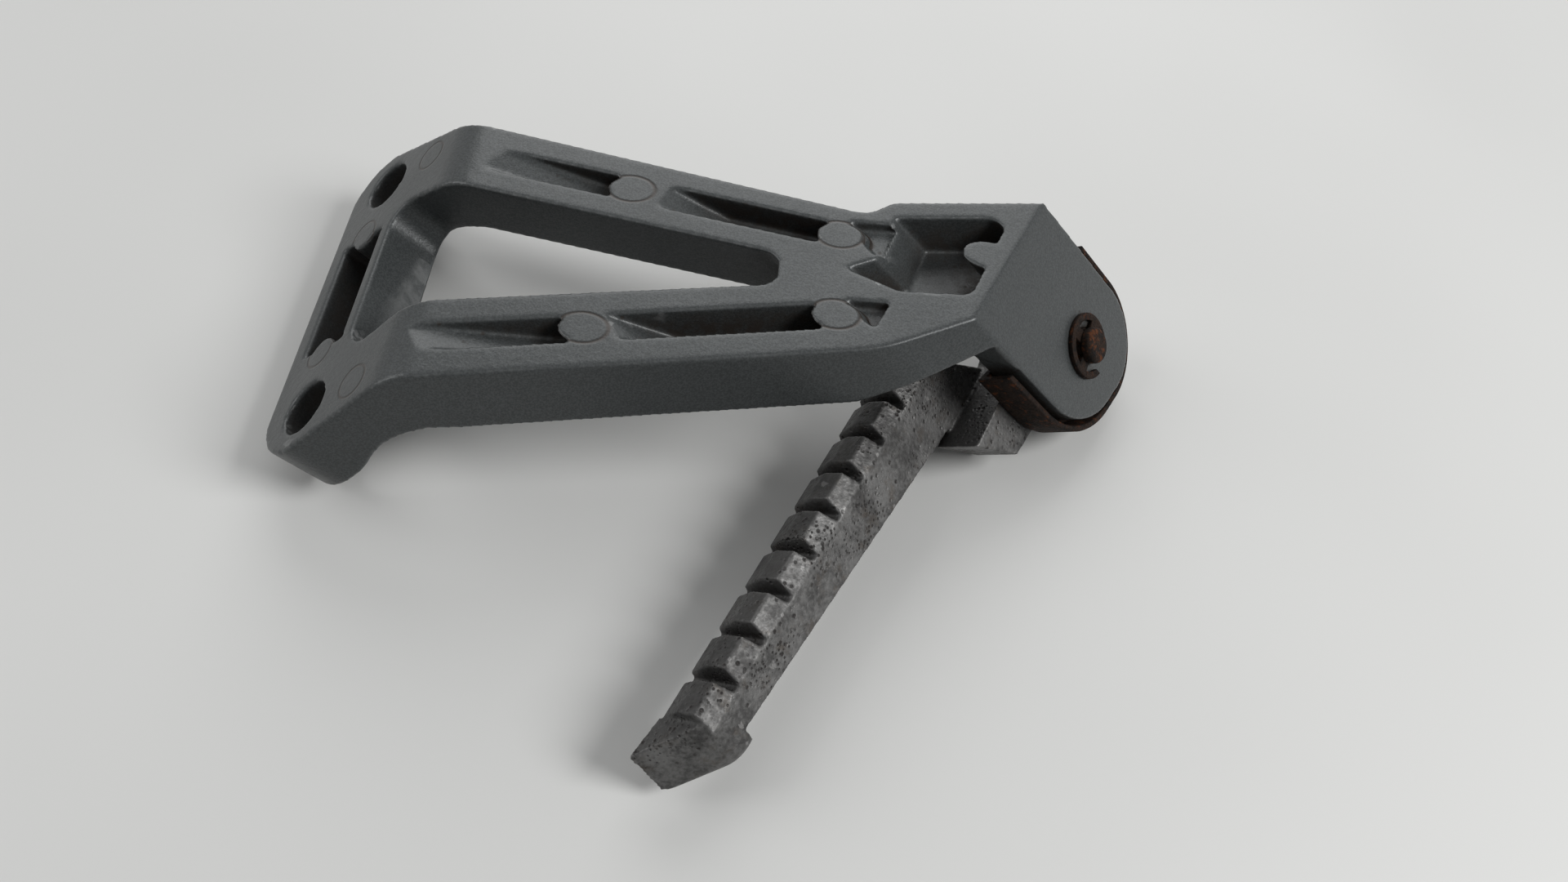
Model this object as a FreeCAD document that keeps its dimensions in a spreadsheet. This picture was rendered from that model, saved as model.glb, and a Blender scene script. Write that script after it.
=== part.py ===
"""Passenger footrest bracket: a die-cast triangular bracket and a folding footpeg on a pin with a detent.

The casting is drawn in its own die frame: u runs from the mounting pad towards the pivot, y lies along the
bend and w is the die's draw direction, square to the pad. Every wall of the casting runs along w. The
finished part is turned about y so that the face of the two arms is level and faces up.
"""

import FreeCAD, Part
import Sketcher
import math
import os
from FreeCAD import Placement, Rotation, Vector

doc = FreeCAD.newDocument("passenger_footrest_bracket")
sheet = doc.addObject("Spreadsheet::Sheet", "Dims")

# Driving dimensions, millimetres and degrees
DIMENSIONS = [
    # Mounting pad
    ("bolt_pitch", 46.0),
    ("bolt_hole_d", 9.0),
    ("pad_edge", 9.7),
    ("pad_corner_y", 32.6),
    ("pad_corner_r", 8.8),
    ("cast_depth", 14.0),
    ("slot_left", 6.2),
    ("slot_right", 3.6),
    ("slot_half", 11.4),
    ("slot_depth", 11.0),
    ("pad_post_u", 1.4),
    ("pad_post_y", 12.2),
    # Bend and arms
    ("bend_u", 20.3),
    ("bend_angle", 42.0),
    ("bend_r", 9.0),
    ("bend_inner_r", 6.0),
    ("bend_half", 25.8),
    ("upper_neck_u", 68.0),
    ("upper_neck_y", 15.4),
    ("lower_neck_back", 10.1),
    ("lower_neck_y", 11.2),
    ("boss_top_run", 3.0),
    ("boss_top_y", 18.5),
    ("neck_r", 3.0),
    ("lower_neck_r", 14.0),
    # Window between the arms
    ("window_left", 5.8),
    ("window_top_y", 14.9),
    ("window_low_y", 15.9),
    ("window_tip_u", 58.4),
    ("window_tip_top", 5.0),
    ("window_tip_low", 1.0),
    ("window_corner_r", 4.5),
    ("window_tip_r", 2.6),
    # Grooves and ejector posts of the arms
    ("upper_line_y", 18.8),
    ("upper_line_angle", 10.9),
    ("lower_line_y", 18.7),
    ("lower_line_angle", 16.1),
    ("groove_width", 4.5),
    ("groove_depth", 6.8),
    ("groove_rise", 4.0),
    ("upper_ramp_from", 3.8),
    ("upper_ramp_to", 20.4),
    ("upper_trough_from", 24.6),
    ("upper_trough_to", 45.0),
    ("lower_ramp_from", 0.6),
    ("lower_ramp_to", 18.6),
    ("lower_trough_from", 22.0),
    ("lower_trough_to", 46.4),
    ("trough_run", 4.5),
    ("post_r", 2.75),
    ("post_depth", 11.0),
    ("upper_post_near", 20.8),
    ("upper_post_far", 45.6),
    ("lower_post_near", 19.2),
    ("lower_post_far", 46.8),
    # Deep pocket of the boss, corners in plan
    ("pocket_depth", 9.0),
    ("pocket_back_u", 71.3),
    ("pocket_back_y", 15.1),
    ("pocket_out_u", 84.6),
    ("pocket_out_y", 17.9),
    ("pocket_low_u", 80.1),
    ("pocket_low_y", 1.2),
    ("pocket_base_u", 71.9),
    ("pocket_base_y", 0.4),
    ("pocket_lobe_u", 66.0),
    ("pocket_lobe_y", 3.6),
    ("pocket_notch_u", 69.3),
    ("pocket_notch_y", 6.1),
    ("pocket_corner_r", 2.0),
    ("boss_post_u", 81.8),
    ("boss_post_y", 9.7),
    # Shallow dimples between the far posts and the boss, from each post's middle
    ("dimple_depth", 2.4),
    ("dimple_run", 5.8),
    ("dimple_near", 3.0),
    ("dimple_wide", 3.4),
    ("dimple_narrow", 1.6),
    ("upper_dimple_drop", 3.6),
    ("lower_dimple_drop", 1.6),
    # Lug, pivot and peg fold
    ("pin_u", 84.7),
    ("pin_y", 9.3),
    ("pin_drop", 83.0),
    ("pin_skew", 18.0),
    ("pin_d", 6.0),
    ("pin_clearance", 0.05),
    ("lug_half", 13.65),
    ("lug_thickness", 6.0),
    ("lug_end_low", 7.0),
    ("lug_end_high", 18.5),
    ("lug_end_low_r", 16.0),
    ("lug_end_high_r", 10.0),
    ("fold_past", 15.0),
    ("notch_from", 13.95),
    ("notch_low", 21.8),
    ("notch_reach", 40.0),
    ("notch_high", 39.0),
    # Pin ends and clip
    ("pin_proud", 2.6),
    ("pin_head_d", 8.6),
    ("pin_head_t", 1.8),
    ("pin_chamfer", 0.5),
    ("pin_groove_d", 5.0),
    ("clip_d", 11.0),
    ("clip_t", 0.7),
    ("clip_rim", 1.2),
    ("clip_prong", 2.2),
    ("clip_gap", 0.15),
    # Detent plate, ball and spring
    ("plate_t", 1.0),
    ("plate_gap", 0.05),
    ("plate_rim_gap", 1.0),
    ("plate_rim_reach", 5.0),
    ("plate_high_side", 7.0),
    ("plate_low_side", 15.5),
    ("side_gap", 0.3),
    ("ball_d", 4.0),
    ("ball_x", 10.4),
    ("ball_drop", 0.8),
    ("ball_gap", 0.12),
    ("seat_d", 2.4),
    ("peg_swing", 100.0),
    ("detent_bore_clearance", 0.15),
    ("detent_bore_depth", 6.0),
    ("spring_wire", 0.4),
    ("spring_turns", 2.5),
    # Peg: x along it from the pin, height towards the tread, set back from the lug's outer face
    ("eye_r", 7.2),
    ("hub_width", 8.0),
    ("shaft_side", 14.0),
    ("shaft_width", 9.2),
    ("shaft_root_x", 8.7),
    ("shaft_root_low", 4.5),
    ("shaft_heel_x", 17.0),
    ("shaft_heel_top", 14.0),
    ("shaft_brow_x", 21.6),
    ("shaft_brow_top", 16.4),
    ("shaft_top", 14.8),
    ("shaft_taper_x", 24.0),
    ("shaft_tip_low", 10.0),
    ("tread_from", 21.8),
    ("tread_pitch", 7.6),
    ("tread_block", 6.4),
    ("tread_crown", 5.2),
    ("tread_height", 3.0),
    ("tread_near_run", 1.4),
    ("tread_far_run", 4.4),
    ("tread_far_drop", 2.0),
    ("heel_x", 19.4),
    ("heel_drop", 5.6),
    ("heel_run", 26.5),
    ("heel_run_top", 3.6),
    ("shaft_dip_x", 16.0),
    ("shaft_dip", 1.5),
    ("crest_x", 30.0),
    ("overlap", 1.0),
    ("block_top", 4.4),
    ("tip_from", 85.0),
    ("tip_knee", 88.6),
    ("tip_to", 95.6),
    ("tip_far", 24.2),
    ("tip_back", 89.5),
    ("tip_top", 16.4),
    ("tip_low", 7.0),
    ("tip_knee_r", 5.0),
    ("tip_edge_r", 1.8),
]
TREAD_BLOCKS = 9

# Sizes that follow from the driving dimensions
DERIVED = [
    ("reach", "2 * pin_u"),
    ("spread", "3 * bolt_pitch"),
    ("hole_y", "bolt_pitch / 2"),
    ("hole_r", "bolt_hole_d / 2"),
    ("fall", "tan(bend_angle * 1deg)"),
    ("face_scale", "1 / cos(bend_angle * 1deg)"),
    ("far_fall", "(reach - bend_u) * fall"),
    ("far_under", "far_fall + cast_depth"),
    ("through", "far_under + cast_depth"),
    ("skew_sine", "sin(pin_skew * 1deg)"),
    ("skew_cosine", "cos(pin_skew * 1deg)"),
    ("lug_high_u", "pin_u + lug_half * skew_sine"),
    ("lug_high_y", "pin_y + lug_half * skew_cosine"),
    ("lug_low_u", "pin_u - lug_half * skew_sine"),
    ("lug_low_y", "lug_half * skew_cosine - pin_y"),
    ("boss_top_u", "upper_neck_u + boss_top_run"),
    ("lower_neck_u", "lug_low_u - lower_neck_back"),
    ("bore_r", "pin_d / 2 + pin_clearance"),
    ("bore_length", "4 * lug_thickness"),
    ("plate_under", "lug_thickness + plate_gap + plate_t"),
    ("eye_from", "plate_under + side_gap"),
    ("eye_to", "eye_from + hub_width"),
    ("cover", "pin_drop - (pin_u - bend_u) * fall"),
    ("lug_tilt", "lug_half * skew_sine * fall"),
    ("lug_top_low", "cover - 0.3 * cast_depth + lug_tilt"),
    ("lug_top_high", "cover - 0.3 * cast_depth - lug_tilt"),
    ("lug_end_mid", "(lug_end_low + lug_end_high) / 2"),
    ("lug_end_slope", "(lug_end_high - lug_end_low) / (2 * lug_half)"),
    ("lug_end_stretch", "sqrt(1 + lug_end_slope ^ 2)"),
    ("plate_in_step", "plate_rim_gap"),
    ("plate_out_step", "plate_rim_gap + plate_t"),
    ("plate_cup", "plate_t + plate_rim_reach"),
    ("plate_rim_top", "plate_rim_reach - lug_thickness - plate_gap"),
    ("plate_above", "2 * lug_half"),
    ("clip_r", "clip_d / 2"),
    ("clip_in_r", "clip_r - clip_rim"),
    ("clip_seat_r", "pin_groove_d / 2 + 0.05"),
    ("clip_overlap", "clip_r - clip_rim / 2"),
    ("prong_half", "clip_prong / 2"),
    ("clip_mouth", "pin_groove_d / 2 - 0.3"),
    ("clip_top", "clip_gap + clip_t"),
    ("pin_r", "pin_d / 2"),
    ("pin_head_r", "pin_head_d / 2"),
    ("pin_groove_r", "pin_groove_d / 2"),
    ("pin_end_r", "pin_r - pin_chamfer"),
    ("pin_bevel", "pin_proud - pin_chamfer"),
    ("groove_low", "clip_gap - 0.05"),
    ("groove_high", "clip_top + 0.05"),
    ("head_under", "eye_to + side_gap"),
    ("head_top", "head_under + pin_head_t"),
    ("ball_r", "ball_d / 2"),
    ("detent_bore_r", "ball_r + detent_bore_clearance"),
    ("seat_r", "seat_d / 2"),
    ("seat_reach", "sqrt(ball_x ^ 2 + ball_drop ^ 2)"),
    ("seat_turn", "180 - fold_past - atan(ball_drop / ball_x) / 1deg"),
    ("folded_seat_x", "seat_reach * cos(seat_turn * 1deg)"),
    ("folded_seat_y", "seat_reach * sin(seat_turn * 1deg)"),
    ("open_seat_x", "seat_reach * cos((seat_turn + peg_swing) * 1deg)"),
    ("open_seat_y", "seat_reach * sin((seat_turn + peg_swing) * 1deg)"),
    ("ball_depth", "eye_from - side_gap + ball_gap + ball_r"),
    ("spring_from", "ball_depth + 0.75 * ball_r + spring_wire / 2"),
    ("spring_room", "eye_from + detent_bore_depth - spring_from - 0.7 * spring_wire"),
    ("spring_r", "detent_bore_r - spring_wire / 2 - 0.3"),
    ("spring_pitch", "spring_room / spring_turns"),
    ("wire_r", "spring_wire / 2"),
    ("shaft_end", "tip_from + overlap"),
    ("shaft_far", "shaft_side + shaft_width"),
    ("notch_length", "shaft_far + lug_thickness / 2"),
    ("boss_post_foot", "(boss_post_u - bend_u) * fall + post_depth"),
    ("tread_base", "shaft_top - overlap"),
    ("tread_top", "shaft_top + tread_height"),
    ("tread_to", "tread_from + tread_block"),
    ("crown_from", "tread_from + (tread_block - tread_crown) / 2"),
    ("crown_to", "crown_from + tread_crown"),
    ("near_ridge", "shaft_side + tread_near_run"),
    ("far_ridge", "shaft_far - tread_far_run"),
    ("far_eave", "tread_top - tread_far_drop"),
    ("facet_over", "tread_top + overlap"),
    ("near_out", "shaft_side - overlap"),
    ("far_out", "shaft_far + overlap"),
    ("tip_height", "tip_top - tip_low"),
]
DIMPLE_ENDS = ("near", "wide", "narrow")
for wall in ("in", "out"):
    DERIVED.append((f"plate_{wall}_half", f"lug_half + plate_{wall}_step"))
    DERIVED.append((f"plate_{wall}_mid", f"lug_end_mid + plate_{wall}_step * lug_end_stretch"))
    DERIVED.append((f"plate_{wall}_low", f"plate_{wall}_mid - lug_end_slope * plate_{wall}_half"))
    DERIVED.append((f"plate_{wall}_high", f"plate_{wall}_mid + lug_end_slope * plate_{wall}_half"))
    DERIVED.append((f"plate_{wall}_low_r", f"lug_end_low_r + plate_{wall}_step"))
    DERIVED.append((f"plate_{wall}_high_r", f"lug_end_high_r + plate_{wall}_step"))
ARMS = {"upper": "", "lower": "-"}
for arm in ARMS:
    DERIVED.append((f"{arm}_cosine", f"cos({arm}_line_angle * 1deg)"))
    DERIVED.append((f"{arm}_sine", f"sin({arm}_line_angle * 1deg)"))
    DERIVED.append((f"{arm}_fall", f"{arm}_cosine * fall"))
    for spot in ("ramp_from", "ramp_to", "trough_from", "trough_to"):
        DERIVED.append((f"{arm}_{spot}_face", f"-{arm}_{spot} * {arm}_fall"))
        DERIVED.append((f"{arm}_{spot}_over", f"{arm}_{spot}_face + groove_rise"))
        DERIVED.append((f"{arm}_{spot}_floor", f"{arm}_{spot}_face - groove_depth"))
    DERIVED.append((f"{arm}_trough_foot", f"{arm}_trough_from + trough_run"))
    DERIVED.append((f"{arm}_trough_foot_floor", f"-{arm}_trough_foot * {arm}_fall - groove_depth"))
    for spot in ("near", "far"):
        DERIVED.append((f"{arm}_post_{spot}_u", f"bend_u + {arm}_post_{spot} * {arm}_cosine"))
        DERIVED.append((f"{arm}_post_{spot}_y", f"{arm}_line_y - {arm}_post_{spot} * {arm}_sine"))
        DERIVED.append((f"{arm}_post_{spot}_foot", f"{arm}_post_{spot} * {arm}_fall + post_depth"))
POCKET_CORNERS = ("back", "out", "low", "base", "lobe", "notch")
for arm, up, down in (("upper", "+", "-"), ("lower", "-", "+")):
    post = f"{arm}_post_far"
    DERIVED.append((f"{arm}_dimple_near_x", f"({post}_u - bend_u) * face_scale"))
    DERIVED.append((f"{arm}_dimple_near_y", f"{post}_y {up} dimple_near"))
    DERIVED.append((f"{arm}_dimple_wide_x", f"({post}_u + dimple_run - bend_u) * face_scale"))
    DERIVED.append((f"{arm}_dimple_wide_y", f"{post}_y {up} dimple_wide"))
    DERIVED.append((f"{arm}_dimple_narrow_x", f"{arm}_dimple_wide_x - dimple_narrow * face_scale"))
    DERIVED.append((f"{arm}_dimple_narrow_y", f"{post}_y {down} {arm}_dimple_drop"))
for corner in POCKET_CORNERS:
    DERIVED.append((f"pocket_{corner}_x", f"(pocket_{corner}_u - bend_u) * face_scale"))

# Labels of the pieces, which name their files
BRACKET = "bracket_casting"
PEG = "footpeg_casting"
PIN = "pivot_pin"
CLIP = "retaining_clip"
PLATE = "detent_plate"
BALL = "detent_ball"
SPRING = "detent_spring"

X_AXIS = Vector(1, 0, 0)
Y_AXIS = Vector(0, 1, 0)
Z_AXIS = Vector(0, 0, 1)
DOWN = Vector(0, 0, -1)


def fill_sheet():
    rows = [(alias, str(value)) for alias, value in DIMENSIONS]
    rows += [(alias, "=" + formula) for alias, formula in DERIVED]
    for row, (alias, text) in enumerate(rows, start=1):
        sheet.set(f"A{row}", alias)
        sheet.set(f"B{row}", text)
        sheet.setAlias(f"B{row}", alias)
    doc.recompute()


def size(name):
    """The value of a named size. A minus sign in front of the name takes its negative."""
    if name == "0":
        return 0.0
    if name.startswith("-"):
        return -float(sheet.get(name[1:]))
    return float(sheet.get(name))


def cell(name):
    """The same size as an expression."""
    if name == "0":
        return "0"
    if name.startswith("-"):
        return f"-Dims.{name[1:]}"
    return f"Dims.{name}"


def new_body(label):
    body = doc.addObject("PartDesign::Body", label)
    body.Label = label
    return body


def new_sketch(body, name, role, turn=None, **shift):
    """A sketch on one of the body's own planes, turned, then shifted by expressions in that plane's axes."""
    plane = next(feature for feature in body.Origin.OriginFeatures if feature.Role == role)
    sketch = body.newObject("Sketcher::SketchObject", name)
    sketch.AttachmentSupport = [(plane, "")]
    sketch.MapMode = "FlatFace"
    sketch.AttachmentOffset = Placement(Vector(), turn or Rotation())
    for axis, expression in shift.items():
        sketch.setExpression(f"AttachmentOffset.Base.{axis}", expression)
    return sketch


def bind(sketch, constraint, name):
    index = sketch.addConstraint(constraint)
    if name != "0":
        sketch.setExpression(f"Constraints[{index}]", cell(name))


def polygon(sketch, points):
    """A closed outline whose corners are pairs of size names."""
    start = sketch.GeometryCount
    count = len(points)
    corners = [Vector(size(x), size(y), 0) for x, y in points]
    for i in range(count):
        sketch.addGeometry(Part.LineSegment(corners[i], corners[(i + 1) % count]), False)
    for i in range(count):
        sketch.addConstraint(Sketcher.Constraint("Coincident", start + i, 2, start + (i + 1) % count, 1))
    for i, (x, y) in enumerate(points):
        bind(sketch, Sketcher.Constraint("DistanceX", -1, 1, start + i, 1, size(x)), x)
        bind(sketch, Sketcher.Constraint("DistanceY", -1, 1, start + i, 1, size(y)), y)
    return sketch


def circle(sketch, x, y, radius):
    """A circle whose centre and radius are size names."""
    ring = Part.Circle(Vector(size(x), size(y), 0), Z_AXIS, size(radius))
    index = sketch.addGeometry(ring, False)
    bind(sketch, Sketcher.Constraint("DistanceX", -1, 1, index, 3, size(x)), x)
    bind(sketch, Sketcher.Constraint("DistanceY", -1, 1, index, 3, size(y)), y)
    bind(sketch, Sketcher.Constraint("Radius", index, size(radius)), radius)
    return sketch


def extrude(body, kind, sketch, length, reverse=False, both=False, direction=None):
    """A Pad or a Pocket of one sketch, as long as a named size."""
    feature = body.newObject(f"PartDesign::{kind}", f"{sketch.Name}_{kind.lower()}")
    feature.Profile = sketch
    feature.Length = size(length)
    feature.setExpression("Length", cell(length))
    feature.Reversed = reverse
    feature.Midplane = both
    if direction:
        feature.UseCustomVector = True
        feature.Direction = direction
        feature.AlongSketchNormal = False
    doc.recompute()
    return feature


def round_edges(body, name, radius, wanted):
    """A fillet on the edges of the body's last feature that the wanted function picks."""
    base = body.Tip
    names = [f"Edge{i}" for i, edge in enumerate(base.Shape.Edges, start=1) if wanted(edge)]
    fillet = body.newObject("PartDesign::Fillet", name)
    fillet.Base = (base, names)
    fillet.Radius = size(radius)
    fillet.setExpression("Radius", cell(radius))
    doc.recompute()
    return fillet


def draw_edge_at(*spots):
    """Picks the straight edges along the draw direction that stand at the given places of the plan."""
    def wanted(edge):
        ends = [vertex.Point for vertex in edge.Vertexes]
        if len(ends) < 2 or math.hypot(ends[0].x - ends[1].x, ends[0].y - ends[1].y) > 1e-5:
            return False
        return any(math.hypot(ends[0].x - size(u), ends[0].y - size(y)) < 0.05 for u, y in spots)
    return wanted


def pin_edge_at(across, along):
    """Picks the straight edges along the pin that stand at one place of the lug's face."""
    def wanted(edge):
        for vertex in edge.Vertexes:
            du = vertex.Point.x - size("pin_u")
            dy = vertex.Point.y - size("pin_y")
            off = du * size("skew_sine") + dy * size("skew_cosine") - size(across)
            if math.hypot(off, vertex.Point.z + size("pin_drop") - size(along)) > 0.05:
                return False
        return True
    return wanted


def cross_edge_at(x, z):
    """Picks the edges along y that stand at one place of the side view."""
    def wanted(edge):
        return all(abs(v.Point.x - size(x)) < 0.05 and abs(v.Point.z - size(z)) < 0.05 for v in edge.Vertexes)
    return wanted


def low_edge_beyond(height, start):
    """Picks the edges that lie at one height and reach past one place along x."""
    def wanted(edge):
        ends = [vertex.Point for vertex in edge.Vertexes]
        level = all(abs(p.z - size(height)) < 0.01 for p in ends)
        return level and any(p.x > size(start) + 0.5 for p in ends)
    return wanted


def lug_sketch(body, name, setback):
    """A sketch square to the pivot: origin on the pin's axis, x across the lug, y along the draw."""
    return new_sketch(
        body, name, "YZ_Plane", Rotation(Y_AXIS, -size("pin_skew")),
        x=f"Dims.pin_y + {cell(setback)} * Dims.skew_sine",
        y="-Dims.pin_drop",
        z=f"Dims.pin_u - {cell(setback)} * Dims.skew_cosine",
    )


def arm_sketch(body, name, arm):
    """A sketch in an arm's upright middle plane: x along the arm from the bend, y along the draw."""
    turn = size("upper_line_angle") if arm == "upper" else -size("lower_line_angle")
    side = "-" if arm == "upper" else ""
    line = f"{side}Dims.{arm}_line_y"
    return new_sketch(body, name, "XZ_Plane", Rotation(Y_AXIS, -turn), x="Dims.bend_u", z=line)


def make_bracket():
    body = new_body(BRACKET)
    side = new_sketch(body, "side_profile", "XZ_Plane")
    polygon(side, [
        ("-bolt_pitch", "0"), ("bend_u", "0"), ("reach", "-far_fall"),
        ("reach", "-far_under"), ("bend_u", "-cast_depth"), ("-bolt_pitch", "-cast_depth"),
    ])
    extrude(body, "Pad", side, "spread", both=True)
    round_edges(body, "bend_outer_round", "bend_r", cross_edge_at("bend_u", "0"))
    round_edges(body, "bend_inner_round", "bend_inner_r", cross_edge_at("bend_u", "-cast_depth"))

    plan = new_sketch(body, "plan_outline", "XY_Plane")
    polygon(plan, [("-spread", "-spread"), ("reach", "-spread"), ("reach", "spread"), ("-spread", "spread")])
    polygon(plan, [
        ("-pad_edge", "-pad_corner_y"), ("bend_u", "-bend_half"), ("lower_neck_u", "-lower_neck_y"),
        ("lug_low_u", "-lug_low_y"), ("lug_high_u", "lug_high_y"), ("boss_top_u", "boss_top_y"),
        ("upper_neck_u", "upper_neck_y"), ("bend_u", "bend_half"), ("-pad_edge", "pad_corner_y"),
    ])
    extrude(body, "Pocket", plan, "through")
    window = new_sketch(body, "window", "XY_Plane")
    polygon(window, [
        ("window_left", "-window_low_y"), ("window_tip_u", "-window_tip_low"),
        ("window_tip_u", "window_tip_top"), ("window_left", "window_top_y"),
    ])
    extrude(body, "Pocket", window, "through")
    pad_corners = draw_edge_at(("-pad_edge", "-pad_corner_y"), ("-pad_edge", "pad_corner_y"))
    round_edges(body, "pad_corner_round", "pad_corner_r", pad_corners)
    window_corners = draw_edge_at(("window_left", "-window_low_y"), ("window_left", "window_top_y"))
    round_edges(body, "window_corner_round", "window_corner_r", window_corners)
    tip_corners = draw_edge_at(("window_tip_u", "-window_tip_low"), ("window_tip_u", "window_tip_top"))
    round_edges(body, "window_tip_round", "window_tip_r", tip_corners)
    round_edges(body, "upper_neck_round", "neck_r", draw_edge_at(("upper_neck_u", "upper_neck_y")))
    round_edges(body, "lower_neck_round", "lower_neck_r", draw_edge_at(("lower_neck_u", "-lower_neck_y")))

    # Grooves along both arms: a ramp that deepens from the bend, then a trough with one sloping end
    for arm in ARMS:
        grooves = arm_sketch(body, f"{arm}_grooves", arm)
        polygon(grooves, [
            (f"{arm}_ramp_from", f"{arm}_ramp_from_face"), (f"{arm}_ramp_to", f"{arm}_ramp_to_floor"),
            (f"{arm}_ramp_to", f"{arm}_ramp_to_over"), (f"{arm}_ramp_from", f"{arm}_ramp_from_over"),
        ])
        polygon(grooves, [
            (f"{arm}_trough_from", f"{arm}_trough_from_face"),
            (f"{arm}_trough_foot", f"{arm}_trough_foot_floor"),
            (f"{arm}_trough_to", f"{arm}_trough_to_floor"),
            (f"{arm}_trough_to", f"{arm}_trough_to_over"),
            (f"{arm}_trough_from", f"{arm}_trough_from_over"),
        ])
        extrude(body, "Pocket", grooves, "groove_width", both=True)
    slot = new_sketch(body, "pad_slot", "XY_Plane")
    polygon(slot, [
        ("-slot_left", "-slot_half"), ("slot_right", "-slot_half"),
        ("slot_right", "slot_half"), ("-slot_left", "slot_half"),
    ])
    extrude(body, "Pocket", slot, "slot_depth")
    face_turn = Rotation(Y_AXIS, size("bend_angle"))
    pocket = new_sketch(body, "boss_pocket", "XY_Plane", face_turn, x="Dims.bend_u")
    polygon(pocket, [(f"pocket_{corner}_x", f"pocket_{corner}_y") for corner in POCKET_CORNERS])
    extrude(body, "Pocket", pocket, "pocket_depth", direction=DOWN)
    for corner in ("out", "low"):
        spot = (f"pocket_{corner}_u", f"pocket_{corner}_y")
        round_edges(body, f"pocket_{corner}_round", "pocket_corner_r", draw_edge_at(spot))
    dimples = new_sketch(body, "post_dimples", "XY_Plane", face_turn, x="Dims.bend_u")
    for arm, sign in ARMS.items():
        polygon(dimples, [(f"{arm}_dimple_{end}_x", f"{sign}{arm}_dimple_{end}_y") for end in DIMPLE_ENDS])
    extrude(body, "Pocket", dimples, "dimple_depth", direction=DOWN)

    # Ejector posts stand in the groove ends, flush with the face
    for arm, sign in ARMS.items():
        for spot in ("near", "far"):
            post = new_sketch(body, f"{arm}_{spot}_post", "XY_Plane")
            circle(post, f"{arm}_post_{spot}_u", f"{sign}{arm}_post_{spot}_y", "post_r")
            extrude(body, "Pad", post, f"{arm}_post_{spot}_foot", reverse=True)
    for sign, name in (("", "upper"), ("-", "lower")):
        post = new_sketch(body, f"pad_{name}_post", "XY_Plane")
        circle(post, "-pad_post_u", f"{sign}pad_post_y", "post_r")
        extrude(body, "Pad", post, "slot_depth", reverse=True)
    boss_post = circle(new_sketch(body, "boss_post", "XY_Plane"), "boss_post_u", "boss_post_y", "post_r")
    extrude(body, "Pad", boss_post, "boss_post_foot", reverse=True)
    above = new_sketch(body, "above_face", "XZ_Plane")
    polygon(above, [
        ("bend_u", "0"), ("reach", "-far_fall"), ("reach", "cast_depth"), ("bend_u", "cast_depth"),
    ])
    extrude(body, "Pocket", above, "spread", both=True)

    # Lug under the end face, which carries the pin
    lug = lug_sketch(body, "lug", "0")
    polygon(lug, [
        ("-lug_half", "-lug_end_low"), ("lug_half", "-lug_end_high"),
        ("lug_half", "lug_top_high"), ("-lug_half", "lug_top_low"),
    ])
    extrude(body, "Pad", lug, "lug_thickness", reverse=True)
    round_edges(body, "lug_high_round", "lug_end_high_r", pin_edge_at("lug_half", "-lug_end_high"))
    round_edges(body, "lug_low_round", "lug_end_low_r", pin_edge_at("-lug_half", "-lug_end_low"))
    notch = lug_sketch(body, "peg_notch", "-side_gap")
    polygon(notch, [
        ("-notch_from", "0"), ("-notch_from", "notch_low"),
        ("-notch_reach", "notch_high"), ("-notch_reach", "0"),
    ])
    extrude(body, "Pocket", notch, "notch_length")

    bore = circle(lug_sketch(body, "pivot_bore", "-lug_thickness"), "0", "0", "bore_r")
    extrude(body, "Pocket", bore, "bore_length")
    holes = new_sketch(body, "bolt_holes", "XY_Plane")
    circle(holes, "0", "hole_y", "hole_r")
    circle(holes, "0", "-hole_y", "hole_r")
    extrude(body, "Pocket", holes, "through")
    return body


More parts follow.
